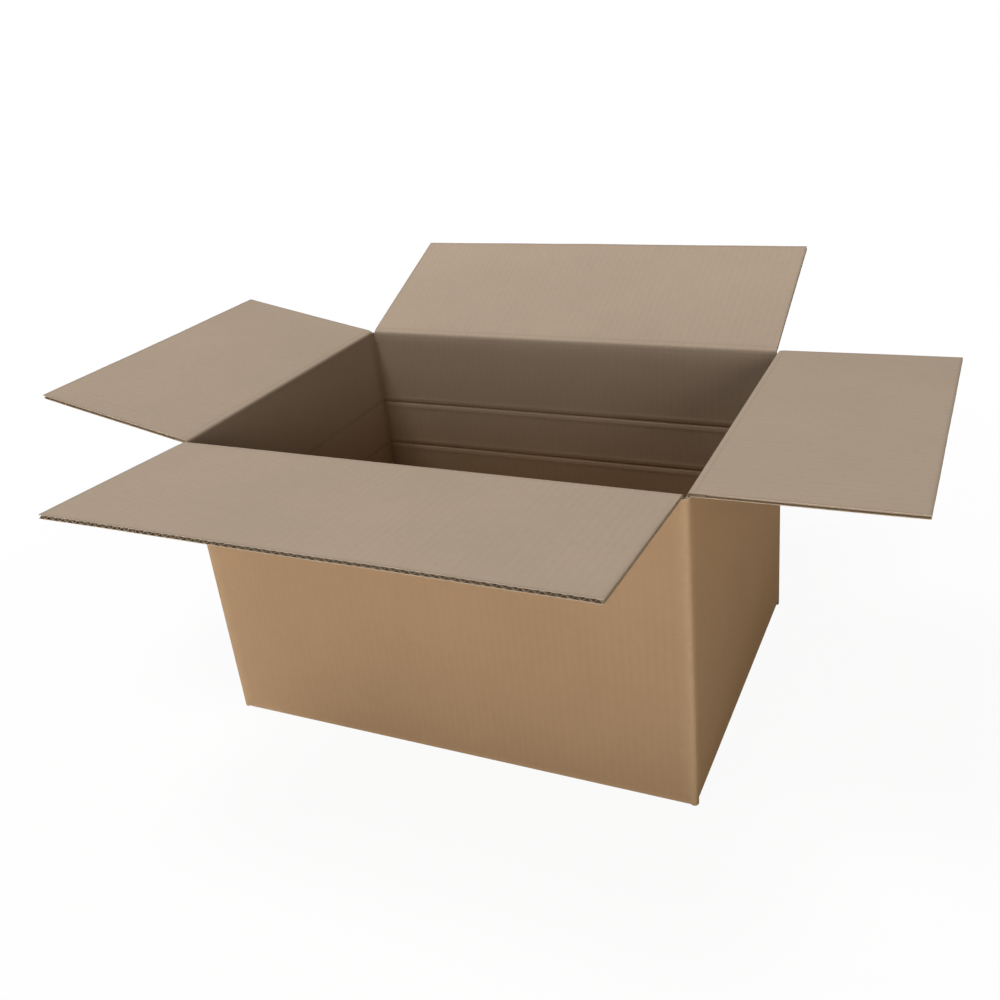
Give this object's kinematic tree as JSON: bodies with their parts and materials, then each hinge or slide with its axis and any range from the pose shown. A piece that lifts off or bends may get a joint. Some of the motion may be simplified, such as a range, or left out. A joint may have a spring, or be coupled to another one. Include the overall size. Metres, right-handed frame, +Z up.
{
  "type": "open cardboard box",
  "caption": "Open slotted shipping carton of corrugated board, with a shut base and hinged top flaps laid outward, for packing goods.",
  "frame": {"origin": "middle of the base, on the floor that the carton stands on", "axes": "+X along the front to the right, +Y from the front to the back, +Z up"},
  "size_m": [0.8607, 0.7004, 0.3857],
  "materials": {
    "board": "matt kraft paper",
    "flap_board": "matt kraft paper, inner facing"
  },
  "bodies": {
    "carton": {"carton_body": "board"},
    "front_flap": {"front_flap": "flap_board"},
    "back_flap": {"back_flap": "flap_board"},
    "left_flap": {"left_flap": "flap_board"},
    "right_flap": {"right_flap": "flap_board"}
  },
  "joints": [
    {"name": "front_flap_fold", "type": "hinge", "parent": "carton", "child": "front_flap", "pos_m": [0, -0.179, 0.3143], "axis": [-1, 0, 0], "range_deg": [-78.5, 176.5]},
    {"name": "back_flap_fold", "type": "hinge", "parent": "carton", "child": "back_flap", "pos_m": [0, 0.179, 0.3143], "axis": [1, 0, 0], "range_deg": [-98, 157]},
    {"name": "left_flap_fold", "type": "hinge", "parent": "carton", "child": "left_flap", "pos_m": [-0.254, 0, 0.312], "axis": [0, 1, 0], "range_deg": [-86, 169]},
    {"name": "right_flap_fold", "type": "hinge", "parent": "carton", "child": "right_flap", "pos_m": [0.254, 0, 0.312], "axis": [0, -1, 0], "range_deg": [-75.5, 179.5]}
  ]
}
